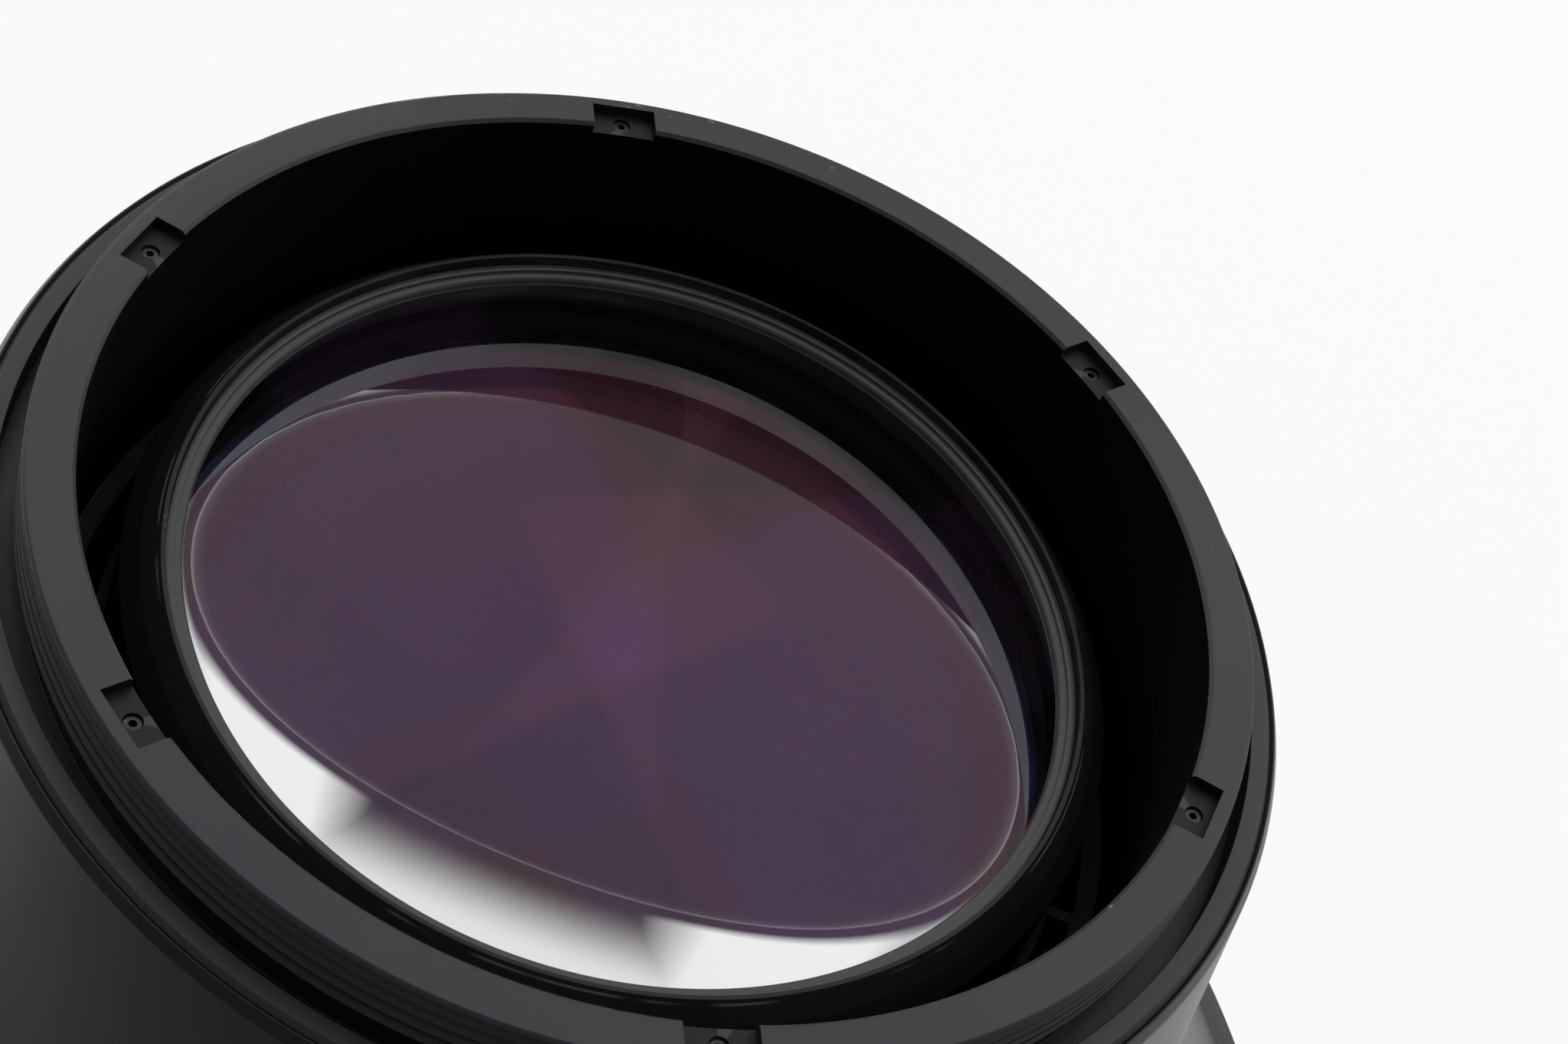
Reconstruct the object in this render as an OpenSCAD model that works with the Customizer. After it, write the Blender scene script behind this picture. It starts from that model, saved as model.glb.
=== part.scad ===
// Wide angle conversion lens, standing on its front ring with the camera end up.
// The optical axis is Z and the front ring's open end lies on Z = 0. All sizes are millimetres.

/* [Mount collar] */
// Radius of the collar's bore
collar_bore_r = 50.6; // [49:0.1:52]
// Height of the collar's rear face above the end of the barrel
collar_stand = 6.1; // [5.8:0.1:7]
// Width of the collar's flat rear face, which sets the thread's outer radius
collar_wall = 4.4; // [4:0.1:4.7]
// Pitch of the male thread
thread_pitch = 1.5; // [1.25:0.05:1.6]
// Share of the pitch that a groove takes up at the crest
thread_groove_share = 0.74; // [0.6:0.02:0.8]
// Depth of a thread groove
thread_depth = 0.7; // [0.3:0.05:0.75]
// Depth of the first groove's middle below the rear face
thread_start = 1; // [0.95:0.05:1.2]
// Number of thread grooves
thread_turns = 4; // [2:1:4]
// Depth of the relief neck below the crests
neck_relief = 0.85; // [0.8:0.05:1.2]
// Width of the captive flange beyond the neck
flange_w = 4; // [3.5:0.1:4.5]
// Thickness of the captive flange
flange_t = 3.4; // [2.5:0.1:4]
// Bevel at the bore's mouth
mouth_bevel = 0.35; // [0.2:0.05:0.6]
// Edge break on the collar's outer corners
collar_edge = 0.3; // [0.1:0.05:0.4]

/* [Collar pockets and set screws] */
// Number of pockets
pocket_count = 6; // [3:1:8]
// Width of a pocket along the rim
pocket_w = 6.2; // [5:0.1:8]
// Distance from the collar's bore to the pocket's flat outer wall
pocket_reach = 2.9; // [2.6:0.1:3.4]
// Depth of the pocket's floor below the rear face
pocket_deep = 1.1; // [0.8:0.1:1.5]
// Distance from the collar's bore to the set screws' axes
set_screw_in = 1.5; // [1.3:0.05:1.9]
// Outside radius of a set screw
set_screw_r = 0.8; // [0.7:0.05:0.9]
// Length of a set screw
set_screw_len = 4; // [2:0.5:5]
// Depth of a set screw's top below the pocket's floor
set_screw_sunk = 0.25; // [0.1:0.05:0.5]
// Width across the flats of the hexagon socket
set_screw_hex = 0.7; // [0.5:0.1:0.9]
// Depth of the hexagon socket
set_screw_hex_deep = 0.9; // [0.5:0.1:1.2]
// Tapped depth left below a set screw
set_screw_spare = 0.7; // [0.3:0.1:1.5]

/* [Keeper ring and glide washers] */
// Width of the keeper ring
keeper_w = 2.1; // [1.6:0.1:2.6]
// Width of the seat that the keeper ring has outside the flange's chamber
keeper_seat_w = 0.8; // [0.5:0.05:1]
// Thickness of the keeper ring
keeper_t = 3.4; // [2.5:0.1:3.6]
// Height of the keeper ring above the barrel's end
keeper_proud = 0.3; // [0.1:0.05:0.5]
// Bevel on the keeper ring's outer corner
keeper_bevel = 0.5; // [0.2:0.05:0.7]
// Thickness of a glide washer
glide_t = 0.5; // [0.3:0.1:0.8]
// Clearance between a glide washer's edge and the walls around it
glide_side_gap = 0.3; // [0.2:0.05:0.5]

/* [Rear barrel] */
// Width of the barrel's wall around the keeper ring
barrel_lip_w = 0.87; // [0.85:0.02:1.4]
// Growth of the barrel's radius per unit of its height
barrel_taper = 0.12; // [0.1:0.01:0.14]
// Height of the bevel on the barrel's rear corner
barrel_bevel_h = 1; // [0.6:0.1:1.4]
// Width of the bevel on the barrel's rear corner
barrel_bevel_w = 0.55; // [0.4:0.05:0.6]
// Width of the bevel on the inside of the barrel's rear lip
barrel_lip_bevel = 0.2; // [0.1:0.05:0.25]
// Width of the step that carries the spider
spider_step_w = 2.95; // [2.5:0.05:3.5]
// Width of the step that the baffle's flange seats on
baffle_step_w = 1; // [0.6:0.1:1.5]
// Height of that step above the barrel's lower end
baffle_step_h = 6; // [5:0.1:7]
// Height of the spider's step above the baffle's step
spider_step_h = 5.9; // [5:0.1:7]

/* [Bore liner and spider] */
// Step out from the collar's bore to the blackened liner behind it
liner_step = 0.25; // [0.1:0.05:0.5]
// Thickness of the liner
liner_t = 2.05; // [1.6:0.05:2.4]
// Width of the spider's ledge inside the liner
ledge_w = 1.95; // [1.4:0.05:2.3]
// Height of the spider's outer ring
spider_h = 6; // [5:0.1:6.3]
// Number of spider ribs
rib_count = 3; // [3:1:4]
// Thickness of a spider rib
rib_t = 1.2; // [0.8:0.1:3]
// Angle from a collar pocket to the first rib
rib_angle = 67; // [45:1:75]
// Height of the spider's hub and ribs
hub_h = 5; // [4:0.1:5.2]
// Thickness of the spider's hub
hub_t = 1.15; // [0.8:0.05:1.6]

/* [Rear lens cell] */
// Width of the dark gap between the liner and the cell
cell_air = 5.35; // [4.6:0.05:6.5]
// Step out from the glass's bore to the bore that the retaining ring screws into
cell_mouth_step = 0.5; // [0.4:0.05:0.7]
// Width of the cell's rear lip
cell_lip_w = 0.4; // [0.3:0.05:0.6]
// Width of the first cone, next to the lip
cell_cone_w = 1.6; // [1.2:0.1:1.8]
// Height of the first cone
cell_cone_h = 1.6; // [1.2:0.1:2]
// Width of the second cone
cell_shoulder_w = 1.55; // [1.2:0.05:1.7]
// Height of the second cone
cell_shoulder_h = 1.8; // [1.4:0.1:2.2]
// Width of the stop below the rear glass
cell_stop_w = 2.4; // [1.5:0.1:3]
// Length of the cell below the glass's stop
cell_foot_h = 6.6; // [6:0.1:8]
// Height of the flange that the spider's hub rests on
cell_flange_h = 2.8; // [2:0.1:3]

/* [Rear retaining ring] */
// Height of the ring's outer land above the edge of the glass
ring_t = 1.6; // [1.2:0.1:2.4]
// Height of the cell's lip above the ring's outer land
ring_land_sunk = 1; // [0.6:0.1:1.2]
// Width of the ring's outer land
ring_land_w = 0.76; // [0.5:0.02:1]
// Step down from the outer to the inner land
ring_step = 0.4; // [0.2:0.05:0.5]
// Reach of the ring over the glass
ring_reach = 1.07; // [0.8:0.01:1.4]

/* [Rear glass] */
// Depth of the rear glass's highest point below the collar's rear face
rear_vertex_depth = 6.8; // [6:0.1:8]
// Surface radius of the rear positive element, towards the camera
rear_a_back = 150; // [140:1:160]
// Surface radius that the cemented pair shares
rear_cement = 220; // [200:1:240]
// Surface radius of the cemented negative element, towards the front
rear_b_front = 380; // [350:5:420]
// Edge thickness of the rear positive element
rear_a_edge_t = 2.25; // [1.5:0.05:3]
// Centre thickness of the cemented negative element
rear_b_t = 3.5; // [3:0.1:4]
// Air space at the axis between the pair and the third element
rear_air = 1.1; // [0.8:0.1:1.3]
// Surface radius of the third element, towards the camera
rear_c_back = 160; // [150:1:170]
// Surface radius of the third element, towards the front
rear_c_front = 600; // [550:10:700]
// Edge thickness of the third element
rear_c_edge_t = 4; // [3:0.1:5]
// Width of the spacer ring
spacer_w = 1.4; // [1:0.1:1.6]

/* [Baffle] */
// Step out from the cell's opening to the baffle's narrow end
baffle_mouth_step = 4.5; // [3:0.1:5]
// Clearance between the baffle's wide end and the bell's flange
baffle_end_gap = 0.5; // [0.2:0.1:1.5]
// Wall of the baffle, across the axis
baffle_wall = 1.2; // [1:0.1:1.3]
// Thickness of the baffle's flange
baffle_flange_t = 1.5; // [1:0.1:2]
// Air between the baffle's flange and the rear cell
baffle_air = 0.5; // [0.3:0.1:1]

/* [Bell] */
// Depth of the bell's concave flare below a straight cone
bell_sag = 3; // [2:0.1:3.5]
// Wall of the bell's foot around the front retaining ring
bell_foot_wall = 7; // [6.4:0.1:8]
// Width of the step behind which the front ring sits
bell_foot_step = 1.9; // [1.4:0.1:2.2]
// Thickness of the bell's inner flange under the rear barrel
bell_flange_t = 4; // [3.5:0.1:4.5]
// Width of that flange inside the screw circle
bell_flange_w = 3.5; // [3:0.1:3.8]
// Wall of the bell at its narrow end
bell_wall = 2.1; // [1.8:0.1:2.4]
// Width of the shoulder that the inner cell's flange seats on
bell_shoulder_w = 2.5; // [2:0.1:4]
// Distance from the barrel's outside to the sealing ring's centre line
seal_in = 2.3; // [1.6:0.1:2.5]
// Section radius of that sealing ring
seal_cord_r = 0.6; // [0.5:0.05:0.65]

/* [Screws between bell and barrel] */
// Number of screws
barrel_screw_count = 6; // [3:1:8]
// Clearance between the screws' heads and the inside of the bell
barrel_screw_air = 1.2; // [0.8:0.1:1.6]
// Shank radius
barrel_screw_r = 1.5; // [1.25:0.25:1.5]
// Length of the shank
barrel_screw_len = 12; // [10:0.5:14]
// Head radius
barrel_screw_head_r = 2.75; // [2.5:0.05:2.8]
// Head height
barrel_screw_head_h = 3; // [2.5:0.1:3]
// Width across the flats of the head's socket
barrel_screw_hex = 2.5; // [2:0.5:2.5]

/* [Inner cell and its glass] */
// Clearance between the top of the cell's tube and the inside of the bell
inner_cell_air = 1.42; // [1:0.02:2]
// Thickness of the cell's flange
inner_cell_flange_t = 2.5; // [2.2:0.1:2.8]
// Width of the cell's flange beyond its tube
inner_cell_flange_w = 13.1; // [12.5:0.1:13.4]
// Wall of the cell's tube
inner_cell_wall = 2.85; // [2.5:0.05:3]
// Height of the cell's tube above its retaining ring
inner_cell_proud = 0.9; // [0.4:0.1:1.5]
// Height of the cell's foot below its flange
inner_cell_foot = 1; // [0.6:0.1:1.2]
// Edge radius of the inner glass
inner_glass_r = 64; // [60:0.5:70]
// Width of the lip that carries the inner glass
inner_lip_w = 2.5; // [2:0.1:3]
// Thickness of that lip
inner_lip_t = 2.05; // [1.8:0.05:2.2]
// Surface radius of the inner negative element, towards the front
inner_a_front = 600; // [500:10:700]
// Surface radius that the inner pair shares
inner_cement = 210; // [190:1:240]
// Surface radius of the inner positive element, towards the camera
inner_b_back = 900; // [800:10:1000]
// Centre thickness of the inner negative element
inner_a_t = 4.5; // [3.5:0.1:6]
// Edge thickness of the inner positive element
inner_b_edge_t = 1.3; // [1:0.05:2.5]
// Width of the ring over the inner glass
inner_ring_w = 3; // [2:0.1:3.5]
// Thickness of the ring over the inner glass
inner_ring_t = 2.1; // [1.8:0.1:2.3]
// Width of the ring below the cell's flange
cell_nut_w = 6; // [4:0.5:8]
// Thickness of that ring
cell_nut_t = 2; // [1.6:0.1:2.4]
// Air between that ring and the gasket
cell_nut_air = 0.15; // [0.1:0.05:0.4]

/* [Front glass] */
// Step out from the cell's bore in the bell to the edge of the front element
front_glass_step = 5.95; // [5.5:0.05:8]
// Height of the front element's lowest point above the open end
front_vertex_h = 3; // [2.6:0.1:3.4]
// Surface radius of the front element, towards the scene
front_outer = 330; // [300:5:380]
// Surface radius of the front element's hollow side
front_inner = 160; // [150:1:175]
// Centre thickness of the front element
front_t = 5.5; // [5:0.1:5.8]
// Width of the flat land around the hollow side
front_land_w = 8; // [7:0.1:9]
// Width of the gasket behind the front element
gasket_w = 5; // [4:0.1:5.5]
// Thickness of that gasket
gasket_t = 0.5; // [0.3:0.1:0.6]

/* [Front retaining ring] */
// Width of the ring outside the glass's edge
front_nut_out_w = 1.95; // [1.5:0.05:2.4]
// Reach of the ring over the glass
front_nut_reach = 4; // [3:0.1:4.5]
// Thickness of the ring
front_nut_t = 6; // [4:0.1:6.2]
// Number of spanner slots
spanner_slots = 4; // [2:1:4]
// Width of a spanner slot
spanner_slot_w = 5; // [3:0.5:7]
// Depth of a spanner slot along the axis
spanner_slot_deep = 3; // [1.5:0.1:3.5]
// Reach of a spanner slot into the ring
spanner_slot_reach = 3; // [2:0.1:3.5]

/* [Front ring] */
// Height of the ring's upper edge above the edge of the front element
front_ring_over = 5.6; // [4.6:0.1:6.6]
// Thickness of the lip at the open end
front_lip_t = 5.95; // [5:0.05:7]
// Width of the ring's second, steeper upper bevel
front_bevel_low_w = 1.8; // [1.2:0.1:2.4]
// Width of the ring's first upper bevel
front_bevel_w = 1.9; // [1.4:0.1:2.2]
// Drop of the ring's first upper bevel
front_bevel_h = 0.7; // [0.4:0.1:1]
// Drop of the ring's second upper bevel
front_bevel_low_h = 0.9; // [0.6:0.1:1.5]
// Step out from the retaining ring's bore to the lip at the open end
front_lip_step = 0.4; // [0.2:0.05:0.6]
// Bevel on the ring's lower outer corner
front_foot_bevel = 1.6; // [0.8:0.1:2.5]
// Number of screws in the front ring
front_screw_count = 6; // [3:1:8]
// Shank radius of a front screw
front_screw_r = 1.25; // [1:0.05:1.3]
// Length of a front screw, head included
front_screw_len = 12; // [9:0.5:13]
// Head radius of a front screw
front_screw_head_r = 2.3; // [2:0.05:2.35]
// Depth of the head's top inside the lip's face
front_screw_sunk = 0.3; // [0.2:0.05:0.5]
// Width of the head's cross slot
front_screw_slot_w = 0.6; // [0.4:0.05:0.7]

/* [Clearances] */
// Radial clearance of the turning collar's flange in the barrel
run_gap = 0.05; // [0.03:0.01:0.08]
// Clearance above and below the turning flange
axial_gap = 0.1; // [0.05:0.01:0.15]
// Radial clearance of a screwed or pushed-in piece in its seat
seat_gap = 0.05; // [0.03:0.01:0.08]
// Clearance between a glass and the metal that holds it
glass_gap = 0.04; // [0.02:0.01:0.06]
// Clearance between the liner's end and the barrel's floor
liner_gap = 0.1; // [0.05:0.01:0.2]

/* [Hidden] */
$fn = 180;
glass_fn = 360;
cut_over = 1;
half_turn = 180;
full_turn = 360;

// Drop of a spherical surface from its vertex to a radius
function sag(surface_r, at_r) = surface_r - sqrt(surface_r * surface_r - at_r * at_r);

// Radii at the camera end, from the collar's bore outwards
thread_r = collar_bore_r + collar_wall;
neck_r = thread_r - neck_relief;
flange_r = neck_r + flange_w;
chamber_r = flange_r + run_gap;
keeper_r = chamber_r + keeper_seat_w;
keeper_in_r = keeper_r - keeper_w;
barrel_mouth_r = keeper_r + seat_gap;
barrel_top_r = barrel_mouth_r + barrel_lip_w;
liner_in_r = collar_bore_r + liner_step;
liner_r = liner_in_r + liner_t;
spider_step_r = liner_r + seat_gap - spider_step_w;
barrel_bore_r = spider_step_r + baffle_step_w;

// Radii of the rear cell and its glass, from the liner inwards
cell_r = liner_in_r - cell_air;
cell_cone_r = cell_r - cell_shoulder_w;
cell_lip_r = cell_cone_r - cell_cone_w;
cell_mouth_r = cell_lip_r - cell_lip_w;
cell_seat_r = cell_mouth_r - cell_mouth_step;
rear_glass_r = cell_seat_r - seat_gap;
cell_stop_r = rear_glass_r - cell_stop_w;

// Radii at the front end, from the inner glass outwards
inner_bore_r = inner_glass_r + seat_gap;
inner_cell_r = inner_bore_r + inner_cell_wall;
bell_cell_r = inner_cell_r + inner_cell_flange_w + seat_gap;
front_glass_r = bell_cell_r + front_glass_step;
front_clear_r = front_glass_r - front_land_w;
front_nut_r = front_glass_r + front_nut_out_w;
front_nut_in_r = front_glass_r - front_nut_reach;
front_nut_bore_r = front_nut_r + seat_gap;
bell_foot_in_r = front_nut_bore_r + bell_foot_wall;
bell_foot_r = bell_foot_in_r + bell_foot_step;
front_screw_pitch_r = (front_nut_bore_r + bell_foot_in_r) / 2;

// Heights of the front element and what holds it, from the open end up
front_inner_vertex = front_vertex_h + front_t;
front_edge_low = front_vertex_h + sag(front_outer, front_glass_r);
front_land = front_inner_vertex + sag(front_inner, front_clear_r);
front_nut_top = front_vertex_h + sag(front_outer, front_nut_in_r) - glass_gap;
front_ring_h = front_edge_low + front_ring_over;
bell_foot_low = front_lip_t + seat_gap;
gasket_top = front_land + gasket_t;

// Heights of the inner cell and its cemented pair
cell_nut_low = gasket_top + cell_nut_air;
inner_flange_low = cell_nut_low + cell_nut_t + seat_gap;
inner_cell_seat = inner_flange_low + inner_cell_flange_t;
inner_cell_low = inner_flange_low - inner_cell_foot;
inner_seat = inner_cell_low + inner_lip_t;
inner_a_low = inner_seat + glass_gap + sag(inner_a_front, inner_glass_r);
inner_cement_vertex = inner_a_low + inner_a_t;
inner_cement_edge = inner_cement_vertex + sag(inner_cement, inner_glass_r);
inner_b_edge = inner_cement_edge + inner_b_edge_t;
inner_b_vertex = inner_b_edge - sag(inner_b_back, inner_glass_r);
inner_ring_low = inner_b_edge + glass_gap;
inner_cell_top = inner_ring_low + inner_ring_t + inner_cell_proud;

// Glass thicknesses that follow from the edge thickness
rear_a_t = rear_a_edge_t + sag(rear_a_back, rear_glass_r) + sag(rear_cement, rear_glass_r);
rear_c_t = rear_c_edge_t + sag(rear_c_back, rear_glass_r) - sag(rear_c_front, rear_glass_r);
rear_stack = rear_a_t + rear_b_t + rear_air + rear_c_t;

// Distance from the joint of bell and barrel up to the collar's rear face
cell_seat_over = baffle_step_h + baffle_air + cell_foot_h;
face_over = cell_seat_over + glass_gap + sag(rear_c_front, rear_glass_r) + rear_stack + rear_vertex_depth;
barrel_h = face_over - collar_stand;
barrel_low_r = barrel_top_r + barrel_taper * (barrel_h - barrel_bevel_h);

// The bell is tall enough for its inside to clear the inner cell
bell_shoulder_r = bell_cell_r - bell_shoulder_w;
bell_in_r = barrel_low_r - bell_wall;
bell_clear_h = (bell_shoulder_r - bell_in_r) * (inner_cell_top - inner_cell_seat)
    / (bell_shoulder_r - inner_cell_r - inner_cell_air);
bell_flange_low = max(inner_cell_seat + bell_clear_h, inner_cell_top + barrel_screw_head_h + inner_cell_air);
bell_top = bell_flange_low + bell_flange_t;
barrel_top = bell_top + barrel_h;
face = bell_top + face_over;

// Heights of the rear glass, from the camera side down
rear_a_vertex = face - rear_vertex_depth;
rear_a_edge = rear_a_vertex - sag(rear_a_back, rear_glass_r);
rear_cement_vertex = rear_a_vertex - rear_a_t;
rear_b_vertex = rear_cement_vertex - rear_b_t;
rear_b_edge = rear_b_vertex - sag(rear_b_front, rear_glass_r);
rear_c_vertex = rear_b_vertex - rear_air;
rear_c_low = rear_c_vertex - rear_c_t;
rear_c_edge = rear_c_low - sag(rear_c_front, rear_glass_r);

// Heights of the rear cell, its spider and its retaining ring
baffle_step = bell_top + baffle_step_h;
cell_low = baffle_step + baffle_air;
cell_seat = bell_top + cell_seat_over;
spider_low = baffle_step + spider_step_h;
ledge = spider_low + spider_h;
ring_low = rear_a_edge + glass_gap;
ring_top = ring_low + ring_t;
cell_top = ring_top + ring_land_sunk;
cell_flange_r = cell_r + seat_gap + hub_t;
cell_flange_top = ledge - hub_h - seat_gap;

// Heights of the collar's flange and the chamber that it turns in
keeper_top = barrel_top + keeper_proud;
keeper_low = keeper_top - keeper_t;
flange_top = keeper_low - glide_t - axial_gap;
flange_low = flange_top - flange_t;
chamber_floor = flange_low - axial_gap - glide_t;

module ring(in_r, out_r, low, high) {
    translate([0, 0, low]) difference() {
        cylinder(r = out_r, h = high - low);
        translate([0, 0, -cut_over]) cylinder(r = in_r, h = high - low + cut_over + cut_over);
    }
}

module turned(outline) {
    rotate_extrude() polygon(outline);
}

// A glass blank with an overrun at either end, for its surfaces to cut
module blank(edge_r, low, high) {
    translate([0, 0, low - cut_over]) cylinder(r = edge_r, h = high - low + cut_over + cut_over);
}

// A solid ball whose lowest or highest point lies on the axis at the given height
module ball_on(vertex, surface_r) {
    translate([0, 0, vertex + surface_r]) sphere(r = surface_r, $fn = glass_fn);
}

module ball_under(vertex, surface_r) {
    translate([0, 0, vertex - surface_r]) sphere(r = surface_r, $fn = glass_fn);
}

module around(count, at_r, first = 0) {
    for (i = [0 : count - 1]) rotate([0, 0, first + full_turn * i / count]) translate([at_r, 0, 0]) children();
}

// Mount collar
pocket_floor = face - pocket_deep;
set_screw_top = pocket_floor - set_screw_sunk;
set_screw_low = set_screw_top - set_screw_len;
set_screw_pitch_r = collar_bore_r + set_screw_in;
thread_low = face - thread_start - thread_pitch * (thread_turns - 1) - thread_pitch / 2;
groove_half = thread_pitch * thread_groove_share / 2;
thread_grooves = [
    for (i = [0 : thread_turns - 1]) let (middle = face - thread_start - thread_pitch * i)
        each [
            [thread_r, middle + groove_half],
            [thread_r - thread_depth, middle],
            [thread_r, middle - groove_half]
        ]
];

module mount_collar() {
    color("#484c54") difference() {
        turned(concat(
            [
                [collar_bore_r, flange_low],
                [collar_bore_r, face - mouth_bevel],
                [collar_bore_r + mouth_bevel, face],
                [thread_r - collar_edge, face],
                [thread_r, face - collar_edge]
            ],
            thread_grooves,
            [
                [thread_r, thread_low],
                [neck_r, thread_low - neck_relief],
                [neck_r, flange_top],
                [flange_r - collar_edge, flange_top],
                [flange_r, flange_top - collar_edge],
                [flange_r, flange_low + collar_edge],
                [flange_r - collar_edge, flange_low]
            ]
        ));
        around(pocket_count, collar_bore_r - cut_over) translate([0, -pocket_w / 2, pocket_floor])
            cube([pocket_reach + cut_over, pocket_w, pocket_deep + cut_over]);
        around(pocket_count, set_screw_pitch_r) translate([0, 0, set_screw_low - set_screw_spare])
            cylinder(r = set_screw_r + seat_gap, h = face - set_screw_low + set_screw_spare);
    }
}

module collar_set_screws() {
    hex_corner_r = set_screw_hex / 2 / cos(half_turn / 6);
    color("#24262a") around(pocket_count, set_screw_pitch_r) difference() {
        translate([0, 0, set_screw_low]) cylinder(r = set_screw_r, h = set_screw_len, $fn = 32);
        translate([0, 0, set_screw_top - set_screw_hex_deep])
            cylinder(r = hex_corner_r, h = set_screw_hex_deep + cut_over, $fn = 6);
    }
}

// Keeper ring over the captive flange, and the washers that the flange turns between
module collar_keeper_ring() {
    color("#3f434a") turned([
        [keeper_in_r, keeper_low],
        [keeper_in_r, keeper_top],
        [keeper_r - keeper_bevel, keeper_top],
        [keeper_r, keeper_top - keeper_bevel],
        [keeper_r, keeper_low]
    ]);
}

module upper_glide_washer() {
    color("#d8d4c8") ring(keeper_in_r, flange_r - glide_side_gap, keeper_low - glide_t, keeper_low);
}

module lower_glide_washer() {
    color("#d8d4c8") ring(liner_r + glide_side_gap, flange_r - glide_side_gap,
        chamber_floor, chamber_floor + glide_t);
}

// Rear barrel, its liner, and the spider that carries the rear cell
module rear_barrel() {
    color("#2a2828") difference() {
        turned([
            [barrel_bore_r, bell_top],
            [barrel_low_r, bell_top],
            [barrel_top_r, barrel_top - barrel_bevel_h],
            [barrel_top_r - barrel_bevel_w, barrel_top],
            [barrel_mouth_r + barrel_lip_bevel, barrel_top],
            [barrel_mouth_r, barrel_top - barrel_lip_bevel],
            [barrel_mouth_r, keeper_low],
            [chamber_r, keeper_low],
            [chamber_r, chamber_floor],
            [liner_r + seat_gap, chamber_floor],
            [liner_r + seat_gap, spider_low],
            [spider_step_r, spider_low],
            [spider_step_r, baffle_step],
            [barrel_bore_r, baffle_step]
        ]);
        around(barrel_screw_count, barrel_screw_pitch_r) translate([0, 0, bell_top - cut_over])
            cylinder(r = barrel_screw_r + seat_gap, h = barrel_screw_len - bell_flange_t + cut_over + seat_gap);
    }
}

module bore_liner() {
    color("#0c0c0d") ring(liner_in_r, liner_r, ledge, chamber_floor - liner_gap);
}

module cell_spider() {
    hub_r = cell_r + seat_gap;
    ledge_in_r = liner_in_r - ledge_w;
    color("#2b2d31") {
        ring(ledge_in_r, liner_r, spider_low, ledge);
        ring(hub_r, hub_r + hub_t, ledge - hub_h, ledge);
        around(rib_count, hub_r + hub_t / 2, rib_angle) translate([0, -rib_t / 2, ledge - hub_h])
            cube([ledge_in_r - hub_r, rib_t, hub_h]);
    }
}

// Rear lens cell and its retaining ring
module rear_cell() {
    color("#1b1c1f") turned([
        [cell_mouth_r, cell_top],
        [cell_lip_r, cell_top],
        [cell_cone_r, cell_top - cell_cone_h],
        [cell_r, cell_top - cell_cone_h - cell_shoulder_h],
        [cell_r, cell_flange_top],
        [cell_flange_r, cell_flange_top],
        [cell_flange_r, cell_flange_top - cell_flange_h],
        [cell_r, cell_flange_top - cell_flange_h],
        [cell_r, cell_low],
        [cell_stop_r, cell_low],
        [cell_stop_r, cell_seat],
        [cell_seat_r, cell_seat],
        [cell_seat_r, rear_a_edge],
        [cell_mouth_r, rear_a_edge]
    ]);
}

module rear_retaining_ring() {
    ring_r = cell_mouth_r - seat_gap;
    ring_open_r = rear_glass_r - ring_reach;
    color("#4a4d54") turned([
        [ring_r, ring_low],
        [ring_r, ring_top],
        [ring_r - ring_land_w, ring_top],
        [ring_r - ring_land_w, ring_top - ring_step],
        [ring_open_r, ring_top - ring_step],
        [ring_open_r, rear_a_vertex - sag(rear_a_back, ring_open_r) + glass_gap],
        [rear_glass_r, ring_low]
    ]);
}

// Rear glass, from the camera side down
module rear_positive_element() {
    color("#6b5f8a", 0.5) intersection() {
        blank(rear_glass_r, rear_cement_vertex, rear_a_vertex);
        ball_under(rear_a_vertex, rear_a_back);
        ball_on(rear_cement_vertex, rear_cement);
    }
}

module rear_negative_element() {
    color("#5f6c94", 0.5) difference() {
        blank(rear_glass_r, rear_b_edge, rear_cement_vertex + sag(rear_cement, rear_glass_r));
        ball_on(rear_cement_vertex, rear_cement);
        ball_under(rear_b_vertex, rear_b_front);
    }
}

module rear_spacer_ring() {
    spacer_in_r = rear_glass_r - spacer_w;
    color("#151517") ring(spacer_in_r, rear_glass_r,
        rear_c_vertex - sag(rear_c_back, spacer_in_r) + glass_gap, rear_b_edge - glass_gap);
}

module rear_third_element() {
    color("#6c5f94", 0.5) difference() {
        intersection() {
            blank(rear_glass_r, rear_c_edge, rear_c_vertex);
            ball_under(rear_c_vertex, rear_c_back);
        }
        ball_under(rear_c_low, rear_c_front);
    }
}

// Baffle between the rear cell and the inner cell
module stray_light_baffle() {
    baffle_top = baffle_step - seat_gap;
    baffle_top_r = cell_stop_r + baffle_mouth_step;
    baffle_low_r = bell_flange_in_r - baffle_end_gap - baffle_wall;
    color("#0d0d0e") turned([
        [baffle_top_r, baffle_top],
        [barrel_bore_r - seat_gap, baffle_top],
        [barrel_bore_r - seat_gap, baffle_top - baffle_flange_t],
        [baffle_top_r + baffle_wall + baffle_wall, baffle_top - baffle_flange_t],
        [baffle_low_r + baffle_wall, bell_flange_low],
        [baffle_low_r, bell_flange_low]
    ]);
}

// Bell: its outside is an arc that bows inwards from a straight cone
barrel_screw_pitch_r = bell_in_r - barrel_screw_air - barrel_screw_head_r;
bell_flange_in_r = barrel_screw_pitch_r - bell_flange_w;
seal_r = barrel_low_r - seal_in;
seal_groove_half = seal_cord_r + seat_gap;
bell_h = bell_top - front_ring_h;
flare_run = bell_foot_r - barrel_low_r;
flare_chord = sqrt(flare_run * flare_run + bell_h * bell_h);
flare_r = (flare_chord * flare_chord / 4 + bell_sag * bell_sag) / 2 / bell_sag;
flare_away = flare_r - bell_sag;
flare_centre = [
    (barrel_low_r + bell_foot_r) / 2 + flare_away * bell_h / flare_chord,
    front_ring_h + bell_h / 2 + flare_away * flare_run / flare_chord
];

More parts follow.
